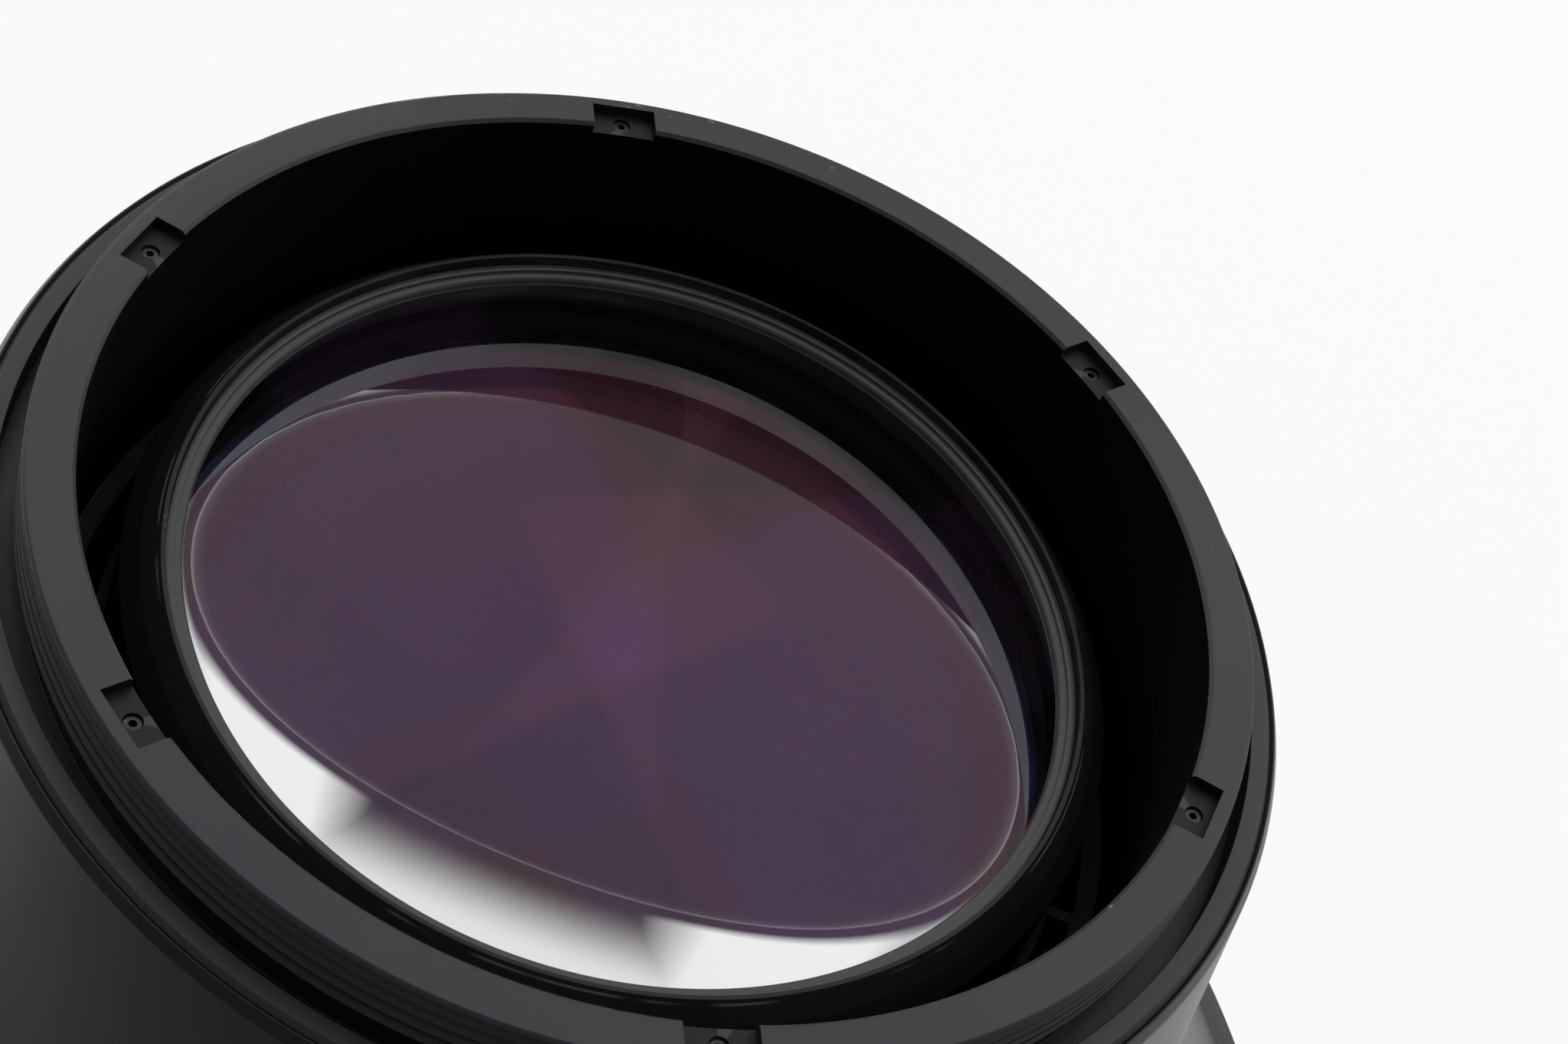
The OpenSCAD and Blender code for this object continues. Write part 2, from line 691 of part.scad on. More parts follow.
module front_bell() {
    color("#3a3a3d") difference() {
        turned([
            [bell_flange_in_r, bell_top],
            [barrel_low_r, bell_top],
            [bell_foot_r, front_ring_h],
            [bell_foot_in_r, front_ring_h],
            [bell_foot_in_r, bell_foot_low],
            [front_nut_bore_r, bell_foot_low],
            [front_nut_bore_r, front_edge_low],
            [front_glass_r + seat_gap, front_edge_low],
            [front_glass_r + seat_gap, gasket_top],
            [bell_cell_r, gasket_top],
            [bell_cell_r, inner_cell_seat],
            [bell_shoulder_r, inner_cell_seat],
            [bell_in_r, bell_flange_low],
            [bell_flange_in_r, bell_flange_low]
        ]);
        rotate_extrude() translate(flare_centre) circle(r = flare_r, $fn = glass_fn);
        ring(seal_r - seal_groove_half, seal_r + seal_groove_half,
            bell_top - seal_groove_half - seal_groove_half, bell_top + cut_over);
        around(barrel_screw_count, barrel_screw_pitch_r) translate([0, 0, bell_flange_low - cut_over])
            cylinder(r = barrel_screw_r + seat_gap, h = bell_flange_t + cut_over + cut_over);
        around(front_screw_count, front_screw_pitch_r) translate([0, 0, bell_foot_low - cut_over])
            cylinder(r = front_screw_r + seat_gap,
                h = front_screw_sunk + front_screw_len - bell_foot_low + cut_over + seat_gap);
    }
}

module barrel_seal() {
    color("#111111") rotate_extrude() translate([seal_r, bell_top - seal_cord_r - seat_gap])
        circle(r = seal_cord_r, $fn = 32);
}

module barrel_screws() {
    hex_corner_r = barrel_screw_hex / 2 / cos(half_turn / 6);
    head_low = bell_flange_low - barrel_screw_head_h;
    color("#2c2e33") around(barrel_screw_count, barrel_screw_pitch_r) difference() {
        union() {
            translate([0, 0, bell_flange_low]) cylinder(r = barrel_screw_r, h = barrel_screw_len, $fn = 32);
            translate([0, 0, head_low]) cylinder(r = barrel_screw_head_r, h = barrel_screw_head_h, $fn = 48);
        }
        translate([0, 0, head_low - cut_over])
            cylinder(r = hex_corner_r, h = barrel_screw_head_h / 2 + cut_over, $fn = 6);
    }
}

// Inner cell, its cemented pair and the two rings that hold them
module inner_cell() {
    flange_edge_r = bell_cell_r - seat_gap;
    lip_r = inner_glass_r - inner_lip_w;
    color("#202124") turned([
        [lip_r, inner_cell_low],
        [inner_cell_r, inner_cell_low],
        [inner_cell_r, inner_flange_low],
        [flange_edge_r, inner_flange_low],
        [flange_edge_r, inner_cell_seat],
        [inner_cell_r, inner_cell_seat],
        [inner_cell_r, inner_cell_top],
        [inner_bore_r, inner_cell_top],
        [inner_bore_r, inner_seat],
        [lip_r, inner_seat]
    ]);
}

module inner_negative_element() {
    color("#5f7a94", 0.5) difference() {
        blank(inner_glass_r, inner_seat + glass_gap, inner_cement_edge);
        ball_under(inner_a_low, inner_a_front);
        ball_on(inner_cement_vertex, inner_cement);
    }
}

module inner_positive_element() {
    color("#7a5f94", 0.5) difference() {
        intersection() {
            blank(inner_glass_r, inner_cement_vertex, inner_b_edge);
            ball_on(inner_cement_vertex, inner_cement);
        }
        ball_on(inner_b_vertex, inner_b_back);
    }
}

module inner_retaining_ring() {
    color("#1a1b1d") ring(inner_glass_r - inner_ring_w, inner_glass_r, inner_ring_low, inner_ring_low + inner_ring_t);
}

module inner_cell_ring() {
    nut_r = bell_cell_r - seat_gap;
    color("#1a1b1d") ring(nut_r - cell_nut_w, nut_r, cell_nut_low, cell_nut_low + cell_nut_t);
}

// Front element, its gasket and its retaining ring
module front_element() {
    color("#5c5a86", 0.5) difference() {
        intersection() {
            cylinder(r = front_glass_r, h = front_land);
            ball_on(front_vertex_h, front_outer);
        }
        ball_on(front_inner_vertex, front_inner);
    }
}

module front_gasket() {
    color("#101010") ring(front_glass_r - gasket_w, front_glass_r, front_land, gasket_top);
}

module front_retaining_ring() {
    nut_low = front_nut_top - front_nut_t;
    color("#1d1e21") difference() {
        ring(front_nut_in_r, front_nut_r, nut_low, front_nut_top);
        around(spanner_slots, front_nut_in_r - cut_over) translate([0, -spanner_slot_w / 2, nut_low - cut_over])
            cube([spanner_slot_reach + cut_over, spanner_slot_w, spanner_slot_deep + cut_over]);
    }
}

// Front ring and its countersunk screws
module front_screw_body(grow) {
    cone_h = front_screw_head_r - front_screw_r;
    translate([0, 0, front_screw_sunk]) {
        cylinder(r1 = front_screw_head_r + grow, r2 = front_screw_r + grow, h = cone_h);
        cylinder(r = front_screw_r + grow, h = front_screw_len);
    }
}

module front_ring() {
    ring_in_r = bell_foot_in_r + seat_gap;
    front_lip_r = front_nut_bore_r + front_lip_step;
    front_ring_r = bell_foot_r + front_bevel_w + front_bevel_low_w;
    ring_high = front_ring_h - seat_gap;
    color("#34363b") difference() {
        turned([
            [front_lip_r, 0],
            [front_ring_r - front_foot_bevel, 0],
            [front_ring_r, front_foot_bevel],
            [front_ring_r, ring_high - front_bevel_h - front_bevel_low_h],
            [bell_foot_r + front_bevel_w, ring_high - front_bevel_h],
            [bell_foot_r, ring_high],
            [ring_in_r, ring_high],
            [ring_in_r, bell_foot_low - seat_gap],
            [front_lip_r, bell_foot_low - seat_gap]
        ]);
        around(front_screw_count, front_screw_pitch_r) {
            front_screw_body(seat_gap);
            translate([0, 0, -cut_over]) cylinder(r = front_screw_head_r + seat_gap, h = front_screw_sunk + cut_over);
        }
    }
}

module front_ring_screws() {
    slot_deep = (front_screw_head_r - front_screw_r) / 2;
    slot_len = front_screw_head_r + front_screw_r / 2;
    color("#2c2e33") around(front_screw_count, front_screw_pitch_r) difference() {
        front_screw_body(0);
        for (turn = [0, half_turn / 2]) rotate([0, 0, turn])
            translate([-slot_len / 2, -front_screw_slot_w / 2, front_screw_sunk - cut_over])
                cube([slot_len, front_screw_slot_w, slot_deep + cut_over]);
    }
}

mount_collar();
collar_set_screws();
collar_keeper_ring();
upper_glide_washer();
lower_glide_washer();
rear_barrel();
bore_liner();
cell_spider();
rear_cell();
rear_retaining_ring();
rear_positive_element();
rear_negative_element();
rear_spacer_ring();
rear_third_element();
stray_light_baffle();
front_bell();
barrel_seal();
barrel_screws();
inner_cell();
inner_negative_element();
inner_positive_element();
inner_retaining_ring();
inner_cell_ring();
front_element();
front_gasket();
front_retaining_ring();
front_ring();
front_ring_screws();
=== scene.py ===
import math
import bmesh
import bpy
from mathutils import Matrix, Vector


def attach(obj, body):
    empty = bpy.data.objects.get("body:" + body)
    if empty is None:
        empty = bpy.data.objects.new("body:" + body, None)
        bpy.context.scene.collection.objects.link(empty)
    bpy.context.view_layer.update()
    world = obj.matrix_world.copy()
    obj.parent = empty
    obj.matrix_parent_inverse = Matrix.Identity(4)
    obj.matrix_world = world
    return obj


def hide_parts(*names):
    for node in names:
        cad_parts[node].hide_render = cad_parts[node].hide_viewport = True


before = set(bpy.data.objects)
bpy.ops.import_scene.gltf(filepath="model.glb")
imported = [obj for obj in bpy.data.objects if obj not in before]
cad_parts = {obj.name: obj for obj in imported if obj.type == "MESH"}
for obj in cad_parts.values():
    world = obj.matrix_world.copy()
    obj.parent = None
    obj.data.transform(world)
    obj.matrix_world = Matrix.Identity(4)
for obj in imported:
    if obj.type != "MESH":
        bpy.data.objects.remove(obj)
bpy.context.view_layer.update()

# Front bell: the flared shell that carries everything else, turned from one aluminium billet.
# Its outside is sprayed with fine satin black paint and its inside is matt black.
# The barrel is screwed to its narrow end and the front glass sits in its wide end.
MM = 0.001
TURNS = 240
SHARP_EDGE = math.radians(38)


def outline_to_section(outline):
    """A flat section in the XZ plane from (radius, height, rounding) corners in millimetres."""
    mesh = bmesh.new()
    corners = [mesh.verts.new((corner[0] * MM, 0, corner[1] * MM)) for corner in outline]
    mesh.faces.new(corners)
    rounding = {}
    for vert, corner in zip(corners, outline):
        if len(corner) > 2:
            rounding.setdefault(corner[2], []).append(vert)
    for radius, verts in rounding.items():
        bmesh.ops.bevel(mesh, geom=verts, offset=radius * MM, offset_type="OFFSET", affect="VERTICES",
                        segments=3, profile=0.5, material=-1, clamp_overlap=True)
    bmesh.ops.delete(mesh, geom=mesh.faces[:], context="FACES_ONLY")
    return mesh


def turn_section(mesh, steps=TURNS):
    """Spins what the section holds once round the optical axis and closes it."""
    bmesh.ops.spin(mesh, geom=mesh.verts[:] + mesh.edges[:], cent=(0, 0, 0), axis=(0, 0, 1), dvec=(0, 0, 0),
                   angle=2 * math.pi, steps=steps, use_merge=True, use_duplicate=False)
    bmesh.ops.remove_doubles(mesh, verts=mesh.verts[:], dist=1e-7)
    bmesh.ops.recalc_face_normals(mesh, faces=mesh.faces[:])


def seat_piece(name, mesh, body, slot, node, *finishes, even=True):
    """Makes the piece, with its shading and its materials, and puts it in the place of its CAD node."""
    data = bpy.data.meshes.new(name)
    mesh.to_mesh(data)
    mesh.free()
    for finish in finishes:
        data.materials.append(finish)
    data.shade_smooth()
    data.set_sharp_from_angle(angle=SHARP_EDGE)
    piece = bpy.data.objects.new(name, data)
    bpy.context.scene.collection.objects.link(piece)
    if even:
        piece.modifiers.new("even_faces", "WEIGHTED_NORMAL").keep_sharp = True
    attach(piece, body)
    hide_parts(node)
    return piece


def cut_from(piece, cutters):
    """Takes the closed cutters, a bmesh, out of the piece's mesh."""
    tool_mesh = bpy.data.meshes.new("cutters")
    cutters.to_mesh(tool_mesh)
    cutters.free()
    tool = bpy.data.objects.new("cutters", tool_mesh)
    bpy.context.scene.collection.objects.link(tool)
    for modifier in piece.modifiers:
        modifier.show_viewport = False
    cut = piece.modifiers.new("cut", "BOOLEAN")
    cut.operation, cut.solver, cut.object = "DIFFERENCE", "EXACT", tool
    bpy.context.view_layer.update()
    fresh = bpy.data.meshes.new_from_object(piece.evaluated_get(bpy.context.evaluated_depsgraph_get()))
    piece.modifiers.remove(cut)
    for modifier in piece.modifiers:
        modifier.show_viewport = True
    old, piece.data = piece.data, fresh
    bpy.data.meshes.remove(old)
    fresh.name = piece.name
    bpy.data.objects.remove(tool)
    bpy.data.meshes.remove(tool_mesh)
    fresh.set_sharp_from_angle(angle=SHARP_EDGE)


def ring_of(count, radius, first=0.0):
    """Turns and moves that put like details round the axis at a radius in millimetres."""
    out = Matrix.Translation((radius * MM, 0, 0))
    return [Matrix.Rotation(math.radians(first) + 2 * math.pi * i / count, 4, "Z") @ out
            for i in range(count)]


def add_round(mesh, place, low, high, radius, sides=32):
    """A capped cylinder between two heights, in millimetres, at a place."""
    middle = Matrix.Translation((0, 0, (low + high) / 2 * MM))
    bmesh.ops.create_cone(mesh, cap_ends=True, segments=sides, radius1=radius * MM, radius2=radius * MM,
                          depth=(high - low) * MM, matrix=place @ middle)


def add_node(tree, kind, inputs=None, **settings):
    """A shader node with its settings; inputs are values or sockets to link, by name or number."""
    made = tree.nodes.new("ShaderNode" + kind)
    for key, value in settings.items():
        setattr(made, key, value)
    for key, value in (inputs or {}).items():
        if isinstance(value, bpy.types.NodeSocket):
            tree.links.new(value, made.inputs[key])
        else:
            made.inputs[key].default_value = value
    return made


def calc(tree, operation, a, b=0.0):
    """One sum on two values or sockets."""
    return add_node(tree, "Math", {0: a, 1: b}, operation=operation).outputs[0]


def rise(tree, value, start, end, low=0.0, high=1.0, **settings):
    """A value that goes from low to high as another goes from start to end."""
    return add_node(tree, "MapRange", {0: value, 1: start, 2: end, 3: low, 4: high}, **settings).outputs[0]


def noise(tree, scale, detail, coarse=0.5, **where):
    """A noise pattern over the surface, or along one value."""
    inputs = {"Scale": scale, "Detail": detail, "Roughness": coarse, **where}
    return add_node(tree, "TexNoise", inputs, noise_dimensions="1D" if "W" in where else "3D").outputs[0]


def tone(tree, share, under, over):
    """One colour over another by a share."""
    return add_node(tree, "MixRGB", {0: share, 1: under, 2: over}).outputs[0]


BARE_METAL = (0.42, 0.42, 0.43, 1)
SCORED_METAL = (0.25, 0.24, 0.23, 1)
DUST_GREY = (0.5, 0.5, 0.48, 1)


def turned_finish(name, colour, rough, shine=0.5, marks=0.15, grain=0.1, dust=0.0, worn=0.0, cloud=0.2,
                  scored=0.0):
    """A finish with turning marks round the axis, fine grain, faint clouding, worn edges, scores and dust."""
    finish = bpy.data.materials.new(name)
    finish.use_nodes = True
    tree = finish.node_tree
    shader = tree.nodes["Principled BSDF"]
    shader.inputs["Specular IOR Level"].default_value = shine
    place = add_node(tree, "TexCoord").outputs["Object"]
    axes = add_node(tree, "SeparateXYZ", {0: place})
    squares = [calc(tree, "MULTIPLY", axes.outputs[i], axes.outputs[i]) for i in (0, 1)]
    radius = calc(tree, "SQRT", calc(tree, "ADD", *squares))
    along = calc(tree, "ADD", radius, calc(tree, "MULTIPLY", axes.outputs[2], 0.77))
    lathe = noise(tree, scale=6500.0, detail=3.0, coarse=0.7, W=along)
    blast = noise(tree, scale=5200.0, detail=2.0, Vector=place)
    smear = noise(tree, scale=55.0, detail=5.0, coarse=0.6, Vector=place)
    base = tone(tree, smear, (*[c * (1 - cloud) for c in colour], 1), (*[c * (1 + cloud) for c in colour], 1))
    if worn:
        corners = rise(tree, add_node(tree, "NewGeometry").outputs["Pointiness"], 0.54, 0.66)
        chips = rise(tree, noise(tree, scale=900.0, detail=6.0, Vector=place), 0.64, 0.7)
        bare = calc(tree, "MULTIPLY", calc(tree, "MULTIPLY", corners, chips), worn)
        base = tone(tree, bare, base, BARE_METAL)
    if scored:
        lines = rise(tree, noise(tree, scale=9000.0, detail=1.0, W=along), 0.62, 0.7)
        broken = rise(tree, noise(tree, scale=90.0, detail=2.0, Vector=place), 0.5, 0.6)
        score = calc(tree, "MULTIPLY", calc(tree, "MULTIPLY", lines, broken), scored)
        base = tone(tree, score, base, SCORED_METAL)
    if dust:
        cells = add_node(tree, "TexVoronoi", {"Vector": place, "Scale": 260.0}, feature="F1")
        chance = add_node(tree, "TexWhiteNoise", {"Vector": cells.outputs["Position"]}).outputs[0]
        lone = calc(tree, "GREATER_THAN", chance, 1 - dust)
        fleck = calc(tree, "MULTIPLY", calc(tree, "LESS_THAN", cells.outputs["Distance"], 0.024), lone)
        base = tone(tree, fleck, base, DUST_GREY)
    tree.links.new(base, shader.inputs["Base Color"])
    cloudy = rise(tree, smear, 0.3, 0.7, rough * 0.88, min(1.0, rough * 1.14))
    streaky = calc(tree, "ADD", cloudy, calc(tree, "MULTIPLY", lathe, marks * 0.3))
    tree.links.new(streaky, shader.inputs["Roughness"])
    relief = calc(tree, "ADD", calc(tree, "MULTIPLY", lathe, marks), calc(tree, "MULTIPLY", blast, grain))
    bump = add_node(tree, "Bump", {"Strength": 0.35, "Distance": 0.00004, "Height": relief})
    tree.links.new(bump.outputs[0], shader.inputs["Normal"])
    return finish


BELL_PAINT = turned_finish(
    "satin_black_paint", (0.0135, 0.011, 0.0112), 0.33, marks=0.03, grain=0.5, dust=0.02)
MATT_INSIDE = turned_finish(
    "matt_black_inside", (0.005, 0.005, 0.0055), 0.8, shine=0.1, marks=0.25, grain=0.2)

bell_top, bell_low = 72.014, 20.003
joint_r = 64.588
barrel_screws = ring_of(6, 58.538)
foot_screws = ring_of(6, 91.5)
bell = outline_to_section([
    (96.9, bell_low), (95.0, bell_low), (95.0, 6.0, 0.2), (88.0, 6.0, 0.2), (88.0, 14.403), (86.05, 14.403),
    (86.05, 29.3), (80.05, 29.3), (80.05, 34.0), (77.55, 34.0), (62.49, 68.014), (55.04, 68.014, 0.2),
    (55.04, bell_top, 0.2), (61.64, bell_top), (61.64, 70.714), (62.94, 70.714), (62.94, bell_top),
    (joint_r, bell_top)])
# The straight edge between the flare's two ends gives way to an arc.
flare_ends = [v for v in bell.verts if v.co.x > 0.0645 and v.co.z > 0.0719 or v.co.x > 0.0968]
for edge in [e for e in bell.edges if all(v in flare_ends for v in e.verts)]:
    bell.edges.remove(edge)
flare_foot = max(flare_ends, key=lambda v: v.co.x)
flare_top = min(flare_ends, key=lambda v: v.co.x)
flare_centre = Vector((212.166 * MM, 0, 127.656 * MM))
sweep = (flare_foot.co - flare_centre).angle(flare_top.co - flare_centre)
bmesh.ops.spin(bell, geom=[flare_foot], cent=flare_centre, axis=(0, 1, 0), dvec=(0, 0, 0), angle=sweep,
               steps=24, use_merge=False)
bmesh.ops.remove_doubles(bell, verts=bell.verts[:], dist=2e-6)
turn_section(bell)
front_bell = seat_piece("front_bell_shell", bell, "converter", "barrel_black", "front_bell",
                        BELL_PAINT, MATT_INSIDE)
cuts = bmesh.new()
for place in barrel_screws:
    add_round(cuts, place, 67.0, 73.0, 1.55)
for place in foot_screws:
    add_round(cuts, place, 5.0, 12.35, 1.3)
cut_from(front_bell, cuts)
paint_r, paint_slope, paint_low = 0.0646, 0.30, 0.0199
for face in front_bell.data.polygons:
    around, high = math.hypot(face.center.x, face.center.y), face.center.z
    painted = around > paint_r + (bell_top * MM - high) * paint_slope and high > paint_low
    face.material_index = 0 if painted else 1

# Front ring: the wide ring that the lens stands on, turned from aluminium and anodised black.
# Its rear corner has two light bevels. Six countersunk screws hold it on the bell's foot.
RING_BLACK = turned_finish(
    "black_anodised_ring", (0.027, 0.029, 0.036), 0.38, marks=0.3, grain=0.12, dust=0.02, worn=0.5)


def repeat_at(mesh, places):
    """Copies what the mesh holds to every place."""
    first = mesh.verts[:] + mesh.edges[:] + mesh.faces[:]
    for place in places[1:]:
        copy = bmesh.ops.duplicate(mesh, geom=first)["geom"]
        bmesh.ops.transform(mesh, matrix=place, verts=[g for g in copy if isinstance(g, bmesh.types.BMVert)])
    bmesh.ops.transform(mesh, matrix=places[0], verts=[g for g in first if isinstance(g, bmesh.types.BMVert)])


def add_block(mesh, place, x0, x1, width, low, high):
    """A block from x0 to x1 along the radius, centred across it, between two heights, in millimetres."""
    middle = Matrix.Translation(((x0 + x1) / 2 * MM, 0, (low + high) / 2 * MM))
    size = Matrix.Diagonal(((x1 - x0) * MM, width * MM, (high - low) * MM, 1))
    bmesh.ops.create_cube(mesh, size=1.0, matrix=place @ middle @ size)


def cut_each(piece, places, add, *sizes, **shape):
    """Takes the same round or block out of the piece at every place."""
    cuts = bmesh.new()
    for place in places:
        add(cuts, place, *sizes, **shape)
    cut_from(piece, cuts)


foot = outline_to_section([
    (88.4, 0.0, 0.3), (99.0, 0.0, 0.4), (100.6, 1.6, 0.4), (100.6, 18.353, 0.25), (98.8, 19.253, 0.12),
    (96.9, 19.953, 0.1), (95.05, 19.953), (95.05, 5.95), (88.4, 5.95, 0.2)])
turn_section(foot)
front_ring = seat_piece("front_foot_ring", foot, "converter", "ring_black", "front_ring", RING_BLACK)
sinks = outline_to_section([(0.0, -1.0), (2.35, -1.0), (2.35, 0.3), (1.3, 1.35), (1.3, 7.0), (0.0, 7.0)])
turn_section(sinks, 32)
repeat_at(sinks, foot_screws)
cut_from(front_ring, sinks)

SCREW_BLACK = turned_finish(
    "black_oxide_screw", (0.022, 0.022, 0.024), 0.34, marks=0.2, grain=0.25, worn=0.6)
screw = outline_to_section([(0.0, 0.3), (2.3, 0.3, 0.08), (1.25, 1.35), (1.25, 12.1, 0.1), (0.0, 12.3)])
turn_section(screw, 40)
repeat_at(screw, foot_screws)
sunk = seat_piece("front_foot_screws", screw, "converter", "screw_black", "front_ring_screws", SCREW_BLACK)
for turn in (0.0, 90.0):
    crossed = [place @ Matrix.Rotation(math.radians(turn), 4, "Z") for place in foot_screws]
    cut_each(sunk, crossed, add_block, -1.46, 1.46, 0.6, -0.7, 0.82)

# Rear glass: a cemented pair and a single element with ground, blackened edges, stacked in the rear cell.
# Each polished face that meets air has an anti-reflection coating, which mirrors a little violet or magenta.
COATING_INDEX = 1.27


def coated(name, index, film, tint):
    """Polished optical glass of a refractive index, under a coating of a thickness in nanometres."""
    finish = bpy.data.materials.new(name)
    finish.use_nodes = True
    shader = finish.node_tree.nodes["Principled BSDF"]
    for socket, value in (("Base Color", (1, 1, 1, 1)), ("Roughness", 0.0), ("IOR", index),
                          ("Transmission Weight", 1.0), ("Specular Tint", (*tint, 1)),
                          ("Thin Film Thickness", film), ("Thin Film IOR", COATING_INDEX)):
        shader.inputs[socket].default_value = value
    return finish


def cement(name, tint, share):
    """The cemented face: it bends nothing and mirrors a trace of its tint."""
    finish = bpy.data.materials.new(name)
    finish.use_nodes = True
    tree = finish.node_tree
    tree.nodes.remove(tree.nodes["Principled BSDF"])
    clear = add_node(tree, "BsdfTransparent", {0: (1, 1, 1, 1)})
    mirror = add_node(tree, "BsdfGlossy", {"Color": (*tint, 1), "Roughness": 0.0})
    both = add_node(tree, "MixShader", {0: share, 1: clear.outputs[0], 2: mirror.outputs[0]})
    tree.links.new(both.outputs[0], tree.nodes["Material Output"].inputs[0])
    return finish


def glass_arc(mesh, vertex, surface_r, edge_r, steps=24):
    """The section of a spherical face, from the axis to its edge. A positive radius lifts the edge."""
    centre = Vector((0, 0, (vertex + surface_r) * MM))
    pole = mesh.verts.new((0, 0, vertex * MM))
    sweep = math.asin(edge_r / abs(surface_r)) * (-1 if surface_r > 0 else 1)
    spun = bmesh.ops.spin(mesh, geom=[pole], cent=centre, axis=(0, 1, 0), dvec=(0, 0, 0), angle=sweep,
                          steps=steps, use_merge=False)
    return next(g for g in spun["geom_last"] if isinstance(g, bmesh.types.BMVert))


def lens_element(name, node, low, high, edge_r, low_finish, high_finish, land=()):
    """A glass element between two faces, each (vertex, radius, optional edge radius), with a black rim."""
    mesh = bmesh.new()
    low_end = glass_arc(mesh, low[0], low[1], low[2] if len(low) > 2 else edge_r)
    high_end = glass_arc(mesh, high[0], high[1], high[2] if len(high) > 2 else edge_r)
    chain = [low_end] + [mesh.verts.new((r * MM, 0, z * MM)) for r, z in land] + [high_end]
    for a, b in zip(chain, chain[1:]):
        mesh.edges.new((a, b))
    turn_section(mesh)
    for face in mesh.faces:
        out = math.hypot(*face.calc_center_median().xy)
        face.material_index = 2 if out > (edge_r - 0.02) * MM else 0 if face.normal.z < 0 else 1
    seat_piece(name, mesh, "converter", "optical_glass", node,
               low_finish, high_finish, BLACK_EDGE, even=False)


BLACK_EDGE = turned_finish(
    "blackened_glass_edge", (0.006, 0.006, 0.006), 0.7, shine=0.3, marks=0.05, grain=0.4)
PAIR_CEMENT = cement("pair_cement", (0.9, 0.5, 1.0), 0.003)
REAR_VIOLET = coated("rear_violet_coating", 1.6, 142.0, (0.5, 0.42, 0.55))
REAR_MAGENTA = coated("rear_magenta_coating", 1.6, 124.0, (0.4, 0.18, 0.4))
THIRD_INDIGO = coated("third_indigo_coating", 1.7, 146.0, (0.25, 0.2, 0.4))
THIRD_MAGENTA = coated("third_magenta_coating", 1.7, 120.0, (0.4, 0.15, 0.35))
rear_r = 41.4
rear_cemented = (99.203, 220.0)
lens_element("rear_positive_glass", "rear_positive_element", rear_cemented, (111.21, -150.0), rear_r,
             PAIR_CEMENT, REAR_VIOLET)
lens_element("rear_negative_glass", "rear_negative_element", (95.703, -380.0), rear_cemented, rear_r,
             REAR_MAGENTA, PAIR_CEMENT)
lens_element("rear_third_glass", "rear_third_element", (86.584, -600.0), (94.603, -160.0), rear_r,
             THIRD_MAGENTA, THIRD_INDIGO)

# Inner glass: a large cemented pair in the middle of the lens, coated on its two outer faces.
# Its edge is ground and blackened, and it rests in a cell of its own.
INNER_VIOLET = coated("inner_violet_coating", 1.5, 138.0, (0.25, 0.15, 0.4))
inner_r = 64.0
inner_cemented = (40.513, 210.0)
lens_element("inner_negative_glass", "inner_negative_element", (36.013, -600.0), inner_cemented, inner_r,
             INNER_VIOLET, PAIR_CEMENT)
lens_element("inner_positive_glass", "inner_positive_element", inner_cemented, (49.525, 900.0), inner_r,
             PAIR_CEMENT, INNER_VIOLET)

# Front glass: the widest element, a meniscus with a flat ground land round its hollow rear face.
# The land lies against the gasket, and the clamp ring presses it there from the front.
FRONT_MAGENTA = coated("front_magenta_coating", 1.5, 118.0, (0.45, 0.15, 0.35))
lens_element("front_glass", "front_element", (3.0, 330.0), (8.5, 160.0, 78.0), 86.0,
             INNER_VIOLET, FRONT_MAGENTA, land=[(86.0, 28.8)])

# Front gasket and front retaining ring: a flat black rubber ring lies behind the front glass, and a
# slotted ring, screwed into the bell from the front, clamps the glass against it.
RUBBER = turned_finish("black_rubber", (0.012, 0.012, 0.012), 0.72, shine=0.3, marks=0.05, grain=0.5)
gasket = outline_to_section([(81.0, 28.8, 0.1), (86.0, 28.8, 0.1), (86.0, 29.3, 0.1), (81.0, 29.3, 0.1)])
turn_section(gasket)
seat_piece("front_glass_gasket", gasket, "converter", "seal_rubber", "front_gasket", RUBBER)

clamp = outline_to_section([(82.0, 7.31, 0.5), (87.95, 7.31, 0.2), (87.95, 13.31), (82.0, 13.31, 0.15)])
turn_section(clamp)
front_clamp = seat_piece("front_glass_clamp", clamp, "converter", "ring_black", "front_retaining_ring",
                         RING_BLACK)
cut_each(front_clamp, ring_of(4, 81.0), add_block, 0.0, 4.0, 5.0, 6.3, 10.31)

# Inner cell: a flanged, blackened cell for the cemented pair in the middle of the lens.
# One slotted ring holds the pair in it and another holds its flange in the bell.
cell = outline_to_section([
    (61.5, 30.5, 0.3), (66.9, 30.5, 0.2), (66.9, 31.5), (80.0, 31.5, 0.1), (80.0, 34.0, 0.1),
    (66.9, 34.0, 0.3), (66.9, 54.843, 0.2), (64.05, 54.843, 0.2), (64.05, 32.55), (61.5, 32.55)])
turn_section(cell)
seat_piece("inner_glass_cell", cell, "converter", "cell_black", "inner_cell", MATT_INSIDE)

hold = outline_to_section([(61.0, 51.843, 0.1), (64.0, 51.843), (64.0, 53.943, 0.1), (61.0, 53.943, 0.5)])
turn_section(hold)
inner_hold = seat_piece("inner_glass_ring", hold, "converter", "baffle_black", "inner_retaining_ring",
                        MATT_INSIDE)
cut_each(inner_hold, ring_of(2, 60.0, 30.0), add_block, 0.0, 2.6, 3.0, 52.9, 55.0)

